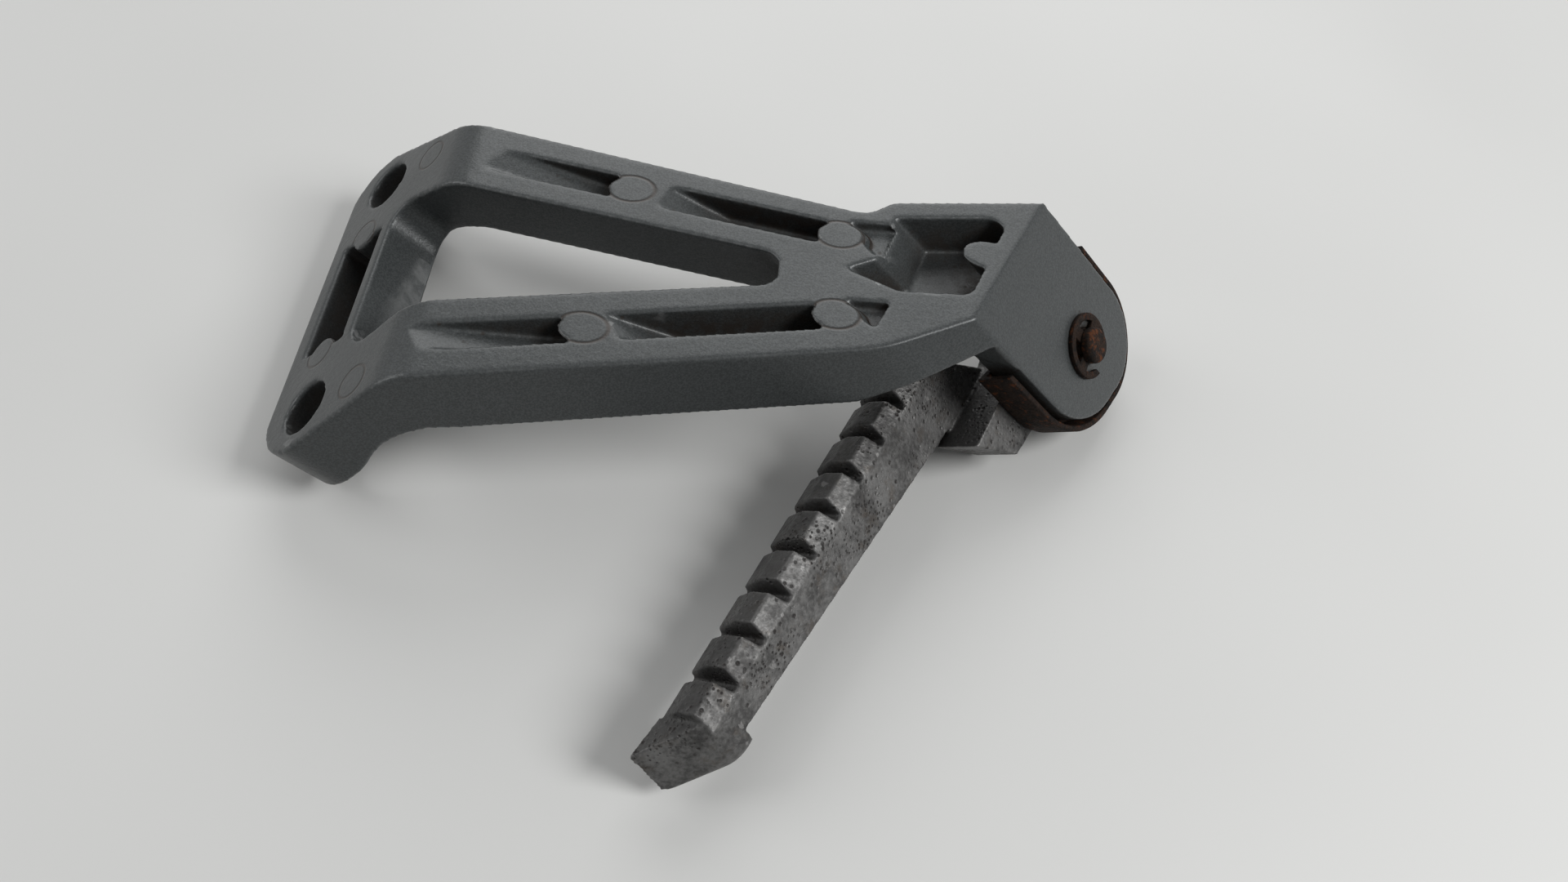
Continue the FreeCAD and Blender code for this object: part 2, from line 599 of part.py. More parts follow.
def make_peg():
    """Drawn with x along the peg, z towards the tread and y along the pin, zero on the lug's outer face."""
    body = new_body(PEG)
    eye = circle(new_sketch(body, "eye", "XZ_Plane", z="Dims.eye_from"), "0", "0", "eye_r")
    extrude(body, "Pad", eye, "hub_width")
    heel = new_sketch(body, "heel", "XZ_Plane", z="Dims.eye_from")
    polygon(heel, [
        ("0", "-eye_r"), ("heel_x", "-heel_drop"), ("heel_run", "heel_run_top"),
        ("shaft_root_x", "block_top"), ("0", "eye_r"),
    ])
    extrude(body, "Pad", heel, "hub_width")
    shaft = new_sketch(body, "shaft", "XZ_Plane", z="Dims.shaft_side")
    polygon(shaft, [
        ("shaft_root_x", "block_top"), ("shaft_dip_x", "shaft_dip"), ("shaft_taper_x", "shaft_root_low"),
        ("shaft_end", "shaft_tip_low"), ("shaft_end", "shaft_top"), ("crest_x", "shaft_top"),
        ("shaft_brow_x", "shaft_brow_top"), ("shaft_heel_x", "shaft_heel_top"),
    ])
    extrude(body, "Pad", shaft, "shaft_width")

    # Tip: a deeper block across the end, its end face turned towards the clip side
    tip = new_sketch(body, "tip_block", "XY_Plane", z="Dims.tip_low")
    polygon(tip, [
        ("tip_from", "-shaft_side"), ("tip_knee", "-shaft_side"), ("tip_to", "-tip_far"),
        ("tip_back", "-shaft_far"), ("tip_from", "-shaft_far"),
    ])
    extrude(body, "Pad", tip, "tip_height")
    round_edges(body, "tip_knee_round", "tip_knee_r", draw_edge_at(("tip_knee", "-shaft_side")))
    round_edges(body, "tip_low_round", "tip_edge_r", low_edge_beyond("tip_low", "tip_from"))

    # Treads: one roof-shaped block with two long facets, repeated along the peg
    block = new_sketch(body, "tread", "XZ_Plane", z="Dims.shaft_side")
    polygon(block, [
        ("tread_from", "tread_base"), ("tread_to", "tread_base"), ("tread_to", "shaft_top"),
        ("crown_to", "tread_top"), ("crown_from", "tread_top"), ("tread_from", "shaft_top"),
    ])
    tread = extrude(body, "Pad", block, "shaft_width")
    roof = new_sketch(body, "tread_facets", "YZ_Plane", z="Dims.tread_from")
    polygon(roof, [
        ("-shaft_side", "shaft_top"), ("-near_ridge", "tread_top"), ("-near_ridge", "facet_over"),
        ("-near_out", "facet_over"), ("-near_out", "shaft_top"),
    ])
    polygon(roof, [
        ("-shaft_far", "far_eave"), ("-far_ridge", "tread_top"), ("-far_ridge", "facet_over"),
        ("-far_out", "facet_over"), ("-far_out", "far_eave"),
    ])
    facets = extrude(body, "Pocket", roof, "tread_block", reverse=True)
    row = body.newObject("PartDesign::LinearPattern", "tread_row")
    row.Originals = [tread, facets]
    row.Direction = (next(f for f in body.Origin.OriginFeatures if f.Role == "X_Axis"), [""])
    row.Occurrences = TREAD_BLOCKS
    row.setExpression("Length", f"{TREAD_BLOCKS - 1} * Dims.tread_pitch")
    body.Tip = row
    doc.recompute()

    pivot = circle(new_sketch(body, "pivot_bore_peg", "XZ_Plane"), "0", "0", "bore_r")
    extrude(body, "Pocket", pivot, "bore_length", reverse=True)
    detent_bore = new_sketch(body, "detent_bore", "XZ_Plane", z="Dims.eye_from")
    circle(detent_bore, "ball_x", "-ball_drop", "detent_bore_r")
    extrude(body, "Pocket", detent_bore, "detent_bore_depth", reverse=True)
    return body


def make_pin():
    """Turned about z, which runs out of the lug towards the clip."""
    body = new_body(PIN)
    half = new_sketch(body, "pin_profile", "XZ_Plane")
    polygon(half, [
        ("0", "-head_top"), ("pin_head_r", "-head_top"),
        ("pin_head_r", "-head_under"), ("pin_r", "-head_under"),
        ("pin_r", "groove_low"), ("pin_groove_r", "groove_low"), ("pin_groove_r", "groove_high"),
        ("pin_r", "groove_high"), ("pin_r", "pin_bevel"), ("pin_end_r", "pin_proud"), ("0", "pin_proud"),
    ])
    turned = body.newObject("PartDesign::Revolution", "pin_turned")
    turned.Profile = half
    turned.ReferenceAxis = (next(f for f in body.Origin.OriginFeatures if f.Role == "Z_Axis"), [""])
    turned.Angle = 360.0
    doc.recompute()
    return body


def make_clip():
    body = new_body(CLIP)
    ring = new_sketch(body, "clip_ring", "XY_Plane", z="Dims.clip_gap")
    circle(ring, "0", "0", "clip_r")
    circle(ring, "0", "0", "clip_in_r")
    extrude(body, "Pad", ring, "clip_t")
    prongs = new_sketch(body, "clip_prongs", "XY_Plane", z="Dims.clip_gap")
    polygon(prongs, [
        ("-prong_half", "clip_seat_r"), ("prong_half", "clip_seat_r"),
        ("prong_half", "clip_overlap"), ("-prong_half", "clip_overlap"),
    ])
    for sign in ("", "-"):
        near = f"{sign}clip_seat_r"
        far = f"{sign}clip_overlap"
        polygon(prongs, [
            (near, "-prong_half"), (far, "-prong_half"), (far, "prong_half"), (near, "prong_half"),
        ])
    extrude(body, "Pad", prongs, "clip_t")
    mouth = new_sketch(body, "clip_opening", "XY_Plane", z="Dims.clip_top")
    polygon(mouth, [
        ("-clip_mouth", "-clip_d"), ("clip_mouth", "-clip_d"),
        ("clip_mouth", "-clip_seat_r"), ("-clip_mouth", "-clip_seat_r"),
    ])
    extrude(body, "Pocket", mouth, "clip_t")
    return body


def make_plate():
    """A shallow cup round the lug's end, flat on the lug's inner face, with two holes that seat the ball."""
    body = new_body(PLATE)
    outer = new_sketch(body, "plate_outline", "XY_Plane", z="-Dims.plate_under")
    polygon(outer, [
        ("-plate_out_half", "-plate_out_low"), ("plate_out_half", "-plate_out_high"),
        ("plate_out_half", "plate_high_side"), ("0", "plate_high_side"),
        ("-plate_out_half", "plate_low_side"),
    ])
    extrude(body, "Pad", outer, "plate_cup")
    inner = new_sketch(body, "cup_hollow", "XY_Plane", z="Dims.plate_rim_top")
    polygon(inner, [
        ("-plate_in_half", "-plate_in_low"), ("plate_in_half", "-plate_in_high"),
        ("plate_in_half", "plate_above"), ("-plate_in_half", "plate_above"),
    ])
    extrude(body, "Pocket", inner, "plate_rim_reach")
    for wall in ("in", "out"):
        for sign, corner in (("", "high"), ("-", "low")):
            spot = (f"{sign}plate_{wall}_half", f"-plate_{wall}_{corner}")
            round_edges(body, f"cup_{wall}_{corner}_round", f"plate_{wall}_{corner}_r", draw_edge_at(spot))
    holes = new_sketch(body, "plate_holes", "XY_Plane")
    circle(holes, "0", "0", "bore_r")
    circle(holes, "folded_seat_x", "folded_seat_y", "seat_r")
    circle(holes, "open_seat_x", "open_seat_y", "seat_r")
    extrude(body, "Pocket", holes, "bore_length")
    return body


def make_ball():
    ball = doc.addObject("Part::Sphere", BALL)
    ball.Label = BALL
    ball.setExpression("Radius", "Dims.ball_r")
    return ball


def make_spring():
    """Wound about z, which runs into the bore from the ball."""
    body = new_body(SPRING)
    wire = circle(new_sketch(body, "spring_section", "XZ_Plane"), "spring_r", "0", "wire_r")
    coil = body.newObject("PartDesign::AdditiveHelix", "spring_coil")
    coil.Profile = wire
    coil.ReferenceAxis = (next(f for f in body.Origin.OriginFeatures if f.Role == "Z_Axis"), [""])
    coil.Mode = "pitch-turns-angle"
    coil.Pitch = size("spring_pitch")
    coil.setExpression("Pitch", "Dims.spring_pitch")
    coil.Turns = size("spring_turns")
    coil.setExpression("Turns", "Dims.spring_turns")
    doc.recompute()
    return body


fill_sheet()
pieces = {}
pieces[BRACKET] = make_bracket()
pieces[PEG] = make_peg()
pieces[PIN] = make_pin()
pieces[CLIP] = make_clip()
pieces[PLATE] = make_plate()
pieces[BALL] = make_ball()
pieces[SPRING] = make_spring()

# Placements: the casting's die frame, the pin's frame with z out of the lug, and the peg's folded frame
level = Placement(Vector(), Rotation(Y_AXIS, -size("bend_angle")))
pivot = Vector(size("pin_u"), size("pin_y"), -size("pin_drop"))
pivot_at = Placement(pivot, Rotation(Z_AXIS, -size("pin_skew")))
pin_axes = Placement(Vector(), Rotation(Y_AXIS, Z_AXIS, X_AXIS, "ZXY"))
pin_frame = level * pivot_at * pin_axes
fold = math.radians(size("fold_past"))
peg_x = Vector(0, -math.cos(fold), math.sin(fold))
peg_z = Vector(0, math.sin(fold), math.cos(fold))
peg_frame = level * pivot_at * Placement(Vector(), Rotation(peg_x, X_AXIS, peg_z, "ZXY"))
ball_at = Placement(Vector(size("ball_x"), -size("ball_depth"), -size("ball_drop")), Rotation())
spring_at = Placement(Vector(size("ball_x"), -size("spring_from"), -size("ball_drop")), Rotation(X_AXIS, 90))
pieces[BRACKET].Placement = level
for label in (PIN, CLIP, PLATE):
    pieces[label].Placement = pin_frame
pieces[PEG].Placement = peg_frame
pieces[BALL].Placement = peg_frame * ball_at
pieces[SPRING].Placement = peg_frame * spring_at
doc.recompute()

for item in doc.Objects:
    if {"Invalid", "Error"} & set(item.State):
        raise RuntimeError(f"{item.Name} did not compute: {item.State}")
os.makedirs("parts", exist_ok=True)
for label, piece in pieces.items():
    if piece.Shape.isNull() or not piece.Shape.isValid():
        raise RuntimeError(f"{label} has no valid shape")
    box = piece.Shape.BoundBox
    spans = [round(value, 1) for value in (box.XMin, box.XMax, box.YMin, box.YMax, box.ZMin, box.ZMax)]
    print(label, len(piece.Shape.Solids), round(piece.Shape.Volume, 1), spans)
    piece.Shape.exportStep(f"parts/{label}.step")
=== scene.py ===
# %% [markdown]
# # A folding passenger footrest
# The part is a painted die casting with a window between its two arms, and a bare aluminium peg that folds
# on a clipped pin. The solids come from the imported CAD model, in metres and already in place. This lesson
# turns them into a picture: soft cast edges first, then one finish per piece, then the table, the light and
# the view.

# %% Load the fixed frame
import math

import bpy
from mathutils import Euler, Matrix, Vector


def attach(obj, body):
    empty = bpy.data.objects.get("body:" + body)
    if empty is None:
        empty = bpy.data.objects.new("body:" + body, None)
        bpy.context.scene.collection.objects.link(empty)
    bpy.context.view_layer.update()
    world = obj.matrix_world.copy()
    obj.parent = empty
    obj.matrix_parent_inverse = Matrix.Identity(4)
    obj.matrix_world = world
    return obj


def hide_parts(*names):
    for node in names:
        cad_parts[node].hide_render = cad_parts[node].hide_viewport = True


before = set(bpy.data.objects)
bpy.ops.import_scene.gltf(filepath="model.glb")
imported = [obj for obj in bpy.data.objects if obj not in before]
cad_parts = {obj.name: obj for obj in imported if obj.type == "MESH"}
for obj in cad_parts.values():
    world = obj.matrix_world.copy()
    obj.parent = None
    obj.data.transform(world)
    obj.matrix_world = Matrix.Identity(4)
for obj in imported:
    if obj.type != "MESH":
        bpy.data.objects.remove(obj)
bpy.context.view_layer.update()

MM = 0.001
print("pieces:", ", ".join(sorted(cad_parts)))

# %% [markdown]
# ## Soft edges
# No edge of a casting or a pressed plate is knife sharp: the mould, the paint and years of use round it, and
# a rounded edge is what catches the light. A CAD mesh is loose triangles, so each piece is copied, its
# doubles are merged and its flat triangles dissolved into whole faces. The two castings are then rebuilt as
# an even net of small faces, which a Smooth lets settle: flat faces stay flat, and every edge, in or out,
# becomes a small round. On the thin steel pieces a net would lose the shape, so a Bevel limited by angle
# rounds their real edges and leaves the facets of the curved walls alone.

# %% Copy a solid and round its edges
MERGE_GAP = 0.002 * MM
FLAT_ANGLE = math.radians(0.1)
SHARP_ANGLE = math.radians(30)
SMOOTH_ANGLE = math.radians(38)
SMOOTH_FACTOR = 0.5


def only(piece):
    """Selects one object and makes it active."""
    bpy.ops.object.select_all(action="DESELECT")
    piece.select_set(True)
    bpy.context.view_layer.objects.active = piece


def whole_copy(node, name, body):
    """A copy of a CAD node with its triangles joined into whole faces, which stands for that node."""
    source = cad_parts[node]
    piece = bpy.data.objects.new(name, source.data.copy())
    bpy.context.scene.collection.objects.link(piece)
    piece.data.materials.clear()
    only(piece)
    bpy.ops.object.mode_set(mode="EDIT")
    bpy.ops.mesh.select_all(action="SELECT")
    bpy.ops.mesh.remove_doubles(threshold=MERGE_GAP)
    bpy.ops.mesh.dissolve_limited(angle_limit=FLAT_ANGLE)
    bpy.ops.mesh.select_all(action="DESELECT")
    bpy.ops.object.mode_set(mode="OBJECT")
    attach(piece, body)
    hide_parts(node)
    return piece


def settle(piece, mesh_width, passes, kept):
    """Rebuilds a casting as a fine even net, smooths it to round all its edges, then thins the net."""
    only(piece)
    net = piece.modifiers.new("net", "REMESH")
    net.mode = "VOXEL"
    net.voxel_size = mesh_width
    bpy.ops.object.modifier_apply(modifier=net.name)
    rounding = piece.modifiers.new("rounding", "SMOOTH")
    rounding.factor = SMOOTH_FACTOR
    rounding.iterations = passes
    bpy.ops.object.modifier_apply(modifier=rounding.name)
    thinning = piece.modifiers.new("thinning", "DECIMATE")
    thinning.ratio = kept
    bpy.ops.object.modifier_apply(modifier=thinning.name)
    bpy.ops.object.shade_smooth()
    print(piece.name, "has", len(piece.data.polygons), "faces")


def soften(piece, edge_width, segments=2):
    """Rounds the sharp edges of a thin piece and shades its curved walls smooth."""
    only(piece)
    rounding = piece.modifiers.new("rounding", "BEVEL")
    rounding.width = edge_width
    rounding.segments = segments
    rounding.limit_method = "ANGLE"
    rounding.angle_limit = SHARP_ANGLE
    bpy.ops.object.modifier_apply(modifier=rounding.name)
    bpy.ops.object.shade_smooth_by_angle(angle=SMOOTH_ANGLE)
    print(piece.name, "has", len(piece.data.polygons), "faces")


# %% [markdown]
# ## The foot under the bolt pad
# Under the bolt holes the casting is thinner than its arms: a flat foot, a small step up, then a wide hollow
# curve that runs into the arms. A cutter gives that line. Its profile is drawn vertex by vertex in the
# tilted plane of the casting, its corners are bevelled round, and the face is extruded across the whole pad.
# A Boolean takes it away from the copied casting before any edge is rounded. The slot between the bolt holes
# has a floor, so a bar made in the same way first raises that floor above the cut.

# %% Bars drawn in the casting's tilted plane
BEND = math.radians(42)
BEND_U = 20.3
CORNER_SEGMENTS = 10


def tilted(u, w, y=0.0):
    """A place given in millimetres along and square to the pad face, in metres in the shared frame."""
    x = u * math.cos(BEND) - w * math.sin(BEND)
    z = u * math.sin(BEND) + w * math.cos(BEND)
    return Vector((x, y, z)) * MM


def round_corner(piece, place, run):
    """Bevels the profile's vertex nearest to a place, that far along its two edges."""
    gaps = [(vertex.co - place).length for vertex in piece.data.vertices]
    bpy.ops.object.mode_set(mode="EDIT")
    bpy.ops.mesh.select_all(action="DESELECT")
    bpy.ops.object.mode_set(mode="OBJECT")
    piece.data.vertices[gaps.index(min(gaps))].select = True
    bpy.ops.object.mode_set(mode="EDIT")
    bpy.ops.mesh.bevel(offset=run * MM, segments=CORNER_SEGMENTS, affect="VERTICES")
    bpy.ops.object.mode_set(mode="OBJECT")


def cross_bar(profile, half, rounds=()):
    """A bar across the casting: a profile along and square to the pad face, from -half to half in y."""
    bpy.ops.object.select_all(action="DESELECT")
    bpy.ops.mesh.primitive_plane_add(size=MM)
    bar = bpy.context.active_object
    bpy.ops.object.mode_set(mode="EDIT")
    bpy.ops.mesh.merge(type="CENTER")
    bpy.ops.transform.translate(value=tilted(*profile[0], y=-half))
    for start, end in zip(profile, profile[1:]):
        step = tilted(*end) - tilted(*start)
        bpy.ops.mesh.extrude_vertices_move(TRANSFORM_OT_translate={"value": step})
    bpy.ops.mesh.select_all(action="SELECT")
    bpy.ops.mesh.edge_face_add()
    bpy.ops.object.mode_set(mode="OBJECT")
    for corner, run in rounds:
        round_corner(bar, tilted(*corner, y=-half), run)
    bpy.ops.object.mode_set(mode="EDIT")
    bpy.ops.mesh.select_all(action="SELECT")
    bpy.ops.mesh.extrude_region_move(TRANSFORM_OT_translate={"value": (0, 2 * half * MM, 0)})
    bpy.ops.mesh.select_all(action="SELECT")
    bpy.ops.mesh.normals_make_consistent(inside=False)
    bpy.ops.object.mode_set(mode="OBJECT")
    return bar


def combine(piece, bar, operation):
    """Joins a bar to a piece or cuts it away, and deletes the bar."""
    only(piece)
    boolean = piece.modifiers.new("bar", "BOOLEAN")
    boolean.operation = operation
    boolean.object = bar
    bpy.ops.object.modifier_apply(modifier=boolean.name)
    bpy.data.objects.remove(bar)


# %% Profiles of the slot's floor and of the cut under the foot, in millimetres
SLOT_START_U = -7.0
SLOT_END_U = 4.4
SLOT_FLOOR = -7.0
SLOT_UNDER = -12.6
SLOT_HALF = 12.2
ARM_DEPTH = 14.05
FOOT_DEPTH = 10.2
WEB_DEPTH = 8.6
STEP_START_U = 3.6
STEP_END_U = 8.0
STEP_ROUND = 1.8
BEND_ROUND = 4.2
CUT_START_U = -30.0
CUT_END_U = 40.0
CUT_FLOOR = -60.0
CUT_HALF = 45.0

slot_bar = [(SLOT_START_U, SLOT_UNDER), (SLOT_END_U, SLOT_UNDER)]
slot_bar += [(SLOT_END_U, SLOT_FLOOR), (SLOT_START_U, SLOT_FLOOR)]
arm_end = -(CUT_END_U - BEND_U) * math.tan(BEND) - ARM_DEPTH
inner_bend = (BEND_U - (ARM_DEPTH - WEB_DEPTH) / math.tan(BEND), -WEB_DEPTH)
step_foot = (STEP_START_U, -FOOT_DEPTH)
step_head = (STEP_END_U, -WEB_DEPTH)
foot_line = [(CUT_START_U, -FOOT_DEPTH), step_foot, step_head, inner_bend]
foot_line += [(CUT_END_U, arm_end), (CUT_END_U, CUT_FLOOR), (CUT_START_U, CUT_FLOOR)]
foot_rounds = ((step_foot, STEP_ROUND), (step_head, STEP_ROUND), (inner_bend, BEND_ROUND))
print("inner bend at u", round(inner_bend[0], 2), "mm")

# %% Raise the slot's floor and cut the foot
casting = whole_copy("bracket_casting", "bracket_shell", "bracket")
combine(casting, cross_bar(slot_bar, SLOT_HALF), "UNION")
combine(casting, cross_bar(foot_line, CUT_HALF, foot_rounds), "DIFFERENCE")
print("foot cut,", len(casting.data.polygons), "faces")

# %% [markdown]
# ## The pieces
# The big casting gets the widest rounding, the peg a little less, and the thin steel pieces only a hairline.
# The ball and the spring sit inside the peg's eye, so they keep their CAD shape.

# %% Round each visible piece
CASTING_NET = 0.30 * MM
CASTING_PASSES = 14
CASTING_KEPT = 0.36
PEG_NET = 0.22 * MM
PEG_PASSES = 10
PEG_KEPT = 0.6
PIN_EDGE = 0.25 * MM
PIN_SEGMENTS = 3
CLIP_EDGE = 0.12 * MM
PLATE_EDGE = 0.2 * MM

peg = whole_copy("footpeg_casting", "peg_shell", "footpeg")
pin = whole_copy("pivot_pin", "pin_turned", "bracket")
clip = whole_copy("retaining_clip", "clip_pressed", "bracket")
plate = whole_copy("detent_plate", "plate_pressed", "bracket")
settle(casting, CASTING_NET, CASTING_PASSES, CASTING_KEPT)
settle(peg, PEG_NET, PEG_PASSES, PEG_KEPT)
soften(pin, PIN_EDGE, PIN_SEGMENTS)
soften(clip, CLIP_EDGE)
soften(plate, PLATE_EDGE)
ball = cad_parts["detent_ball"]
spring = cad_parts["detent_spring"]

# %% [markdown]
# ## Finishes as node trees
# Every finish here is worked out from the position on the piece, so it has no image and no seam. A small
# class keeps the trees readable. Its methods add and link nodes, and make the patterns that the finishes
# share: noise of a given grain, masks for recesses and outer edges, clustered dots and fine relief.

# %% Helpers for node trees
CREVICE_SAMPLES = 6
DOT_CORE = 0.3


class Finish:
    """A material and the few node patterns that the finishes share."""

    def __init__(self, name):
        self.material = bpy.data.materials.new(name)
        self.material.use_nodes = True
        self.tree = self.material.node_tree
        self.shader = self.tree.nodes["Principled BSDF"]
        coordinates = self.add("ShaderNodeTexCoord")
        self.place = coordinates.outputs["Object"]
        self.normal = coordinates.outputs["Normal"]

    def add(self, kind, **settings):
        """Adds a node with these settings."""
        node = self.tree.nodes.new(kind)
        for key, value in settings.items():
            setattr(node, key, value)
        return node

    def feed(self, socket, value):
        """Links an output to a socket, or sets the socket to a plain value."""
        if isinstance(value, bpy.types.NodeSocket):
            self.tree.links.new(value, socket)
        else:
            socket.default_value = value

    def shade(self, name, value):
        """Feeds one of the shader's own sockets."""
        self.feed(self.shader.inputs[name], value)

    def math(self, operation, first, second=0.0, clamp=False):
        """One step of arithmetic."""
        node = self.add("ShaderNodeMath", operation=operation, use_clamp=clamp)
        self.feed(node.inputs[0], first)
        self.feed(node.inputs[1], second)
        return node.outputs[0]

    def times(self, first, second):
        """The product of two values."""
        return self.math("MULTIPLY", first, second)

    def noise(self, grain, detail=3.0, roughness=0.55):
        """Noise whose grains are about that many metres across."""
        node = self.add("ShaderNodeTexNoise")
        self.feed(node.inputs["Vector"], self.place)
        node.inputs["Scale"].default_value = 1 / grain
        node.inputs["Detail"].default_value = detail
        node.inputs["Roughness"].default_value = roughness
        return node.outputs["Fac"]

    def span(self, value, low, high, to_low=0.0, to_high=1.0):
        """Stretches a range of values to another, smoothly, and clamps it."""
        node = self.add("ShaderNodeMapRange", interpolation_type="SMOOTHSTEP")
        for socket, number in zip(node.inputs, (value, low, high, to_low, to_high)):
            self.feed(socket, number)
        return node.outputs[0]

    def blend(self, share, first, second):
        """Mixes two colours."""
        node = self.add("ShaderNodeMix", data_type="RGBA")
        self.feed(node.inputs["Factor"], share)
        self.feed(node.inputs[6], first)
        self.feed(node.inputs[7], second)
        return node.outputs[2]

    def crevice(self, reach):
        """One in corners and recesses, zero on open faces."""
        node = self.add("ShaderNodeAmbientOcclusion", samples=CREVICE_SAMPLES)
        node.inputs["Distance"].default_value = reach
        return self.math("SUBTRACT", 1.0, node.outputs["AO"], clamp=True)

    def facing(self, direction, low, high):
        """One where the surface looks along a direction of the piece, zero where it looks away."""
        node = self.add("ShaderNodeVectorMath", operation="DOT_PRODUCT")
        self.feed(node.inputs[0], self.normal)
        node.inputs[1].default_value = direction
        return self.span(node.outputs["Value"], low, high)

    def specks(self, spacing, size, grain, low, high):
        """Small round dots in clusters: Voronoi cell centres, kept where a coarser noise is high."""
        cells = self.add("ShaderNodeTexVoronoi")
        self.feed(cells.inputs["Vector"], self.place)
        cells.inputs["Scale"].default_value = 1 / spacing
        dots = self.span(cells.outputs["Distance"], DOT_CORE * size, size, 1.0, 0.0)
        return self.times(dots, self.span(self.noise(grain), low, high))

    def ridge(self, low, high):
        """One on the rounded outer edges of a dense mesh, zero on flat faces and in corners."""
        return self.span(self.add("ShaderNodeNewGeometry").outputs["Pointiness"], low, high)

    def relief(self, height, depth, strength=1.0):
        """Fine surface relief of that depth in metres."""
        node = self.add("ShaderNodeBump")
        self.feed(node.inputs["Height"], height)
        node.inputs["Distance"].default_value = depth
        node.inputs["Strength"].default_value = strength
        self.shade("Normal", node.outputs[0])


def rgb(red, green, blue):
    """An opaque colour."""
    return (red, green, blue, 1.0)


# %% [markdown]
# ## Grey satin paint
# The bracket is sprayed with a dark grey metallic paint over a sandy casting skin. Close up it is a fine
# salt and pepper of flakes, and oil and road dirt have settled in the grooves. The flake is a noise finer
# than half a millimetre in colour and relief. The grooves and pockets are painted darker along occlusion
# masks, broken up by a coarser noise: partly that dirt, partly painted shade in the recesses. Outer edges
# are
# painted a lighter grey: partly rubbed paint, partly a painted highlight. Thin rings mark where ejector pins
# pressed on the face.
# They are drawn by the distance from each ring's centre in the casting's own tilted frame.

# %% Ring marks of the ejector pins
RING_RADIUS = 2.75 * MM
RING_LINE = 0.42 * MM
UPWARDS = (0, 0, 1)
PAD_RING = (11.7, 23.0)
SLOT_RING = (-1.4, 12.2)
UPPER_ARM_START = 18.8
UPPER_ARM_ANGLE = math.radians(10.9)
UPPER_POSTS = (20.8, 45.6)
LOWER_ARM_START = 18.7
LOWER_ARM_ANGLE = math.radians(16.1)
LOWER_POSTS = (19.2, 46.8)


def on_arm(along, start, angle, side):
    """The plan position of a post that far along an arm from the bend, in millimetres."""
    u = BEND_U + along * math.cos(angle)
    y = start - along * math.sin(angle)
    return (u, side * y)


rings = [(u, side * y) for u, y in (PAD_RING, SLOT_RING) for side in (1, -1)]
rings += [on_arm(along, UPPER_ARM_START, UPPER_ARM_ANGLE, 1) for along in UPPER_POSTS]
rings += [on_arm(along, LOWER_ARM_START, LOWER_ARM_ANGLE, -1) for along in LOWER_POSTS]


def ring_marks(finish):
    """One on the thin ring lines of faces that look up, zero elsewhere."""
    level = finish.add("ShaderNodeMapping")
    finish.feed(level.inputs["Vector"], finish.place)
    level.inputs["Rotation"].default_value = (0, BEND, 0)
    flat = finish.add("ShaderNodeVectorMath", operation="MULTIPLY")
    finish.feed(flat.inputs[0], level.outputs[0])
    flat.inputs[1].default_value = (1, 1, 0)
    total = 0.0
    for u, y in rings:
        gap = finish.add("ShaderNodeVectorMath", operation="DISTANCE")
        finish.feed(gap.inputs[0], flat.outputs[0])
        gap.inputs[1].default_value = (u * MM, y * MM, 0)
        off = finish.math("ABSOLUTE", finish.math("SUBTRACT", gap.outputs["Value"], RING_RADIUS))
        total = finish.math("ADD", total, finish.span(off, 0.0, RING_LINE, 1.0, 0.0), clamp=True)
    return finish.times(total, finish.facing(UPWARDS, low=0.68, high=0.73))


print(len(rings), "ring marks")

# %% Paint with worn edges and painted highlight, and grime and painted shade in the recesses
PAINT_DARK = rgb(0.034, 0.0375, 0.038)
PAINT_LIGHT = rgb(0.058, 0.063, 0.064)
RECESS_GRIME_AND_SHADE = rgb(0.022, 0.016, 0.012)
EDGE_METAL_AND_HIGHLIGHT = rgb(0.15, 0.155, 0.155)
FLAKE_GRAIN = 0.30 * MM
SKIN_GRAIN = 1.0 * MM
SHEEN_GRAIN = 14 * MM
EDGE_PATCH_GRAIN = 3.0 * MM
GRIME_GRAIN = 1.8 * MM
GROOVE_REACH = 6 * MM
POCKET_REACH = 16 * MM
SPOT_SPACING = 1.6 * MM
SPOT_SIZE = 0.30
SPOT_CLUSTER = 7 * MM
PAINT_RELIEF = 0.12 * MM
FLAKE_HEIGHT = 0.4
MARK_DEPTH = 1.6
MARK_SHARE = 0.95
FILM_SHARE = 0.85
GRIME_DULLNESS = 0.35


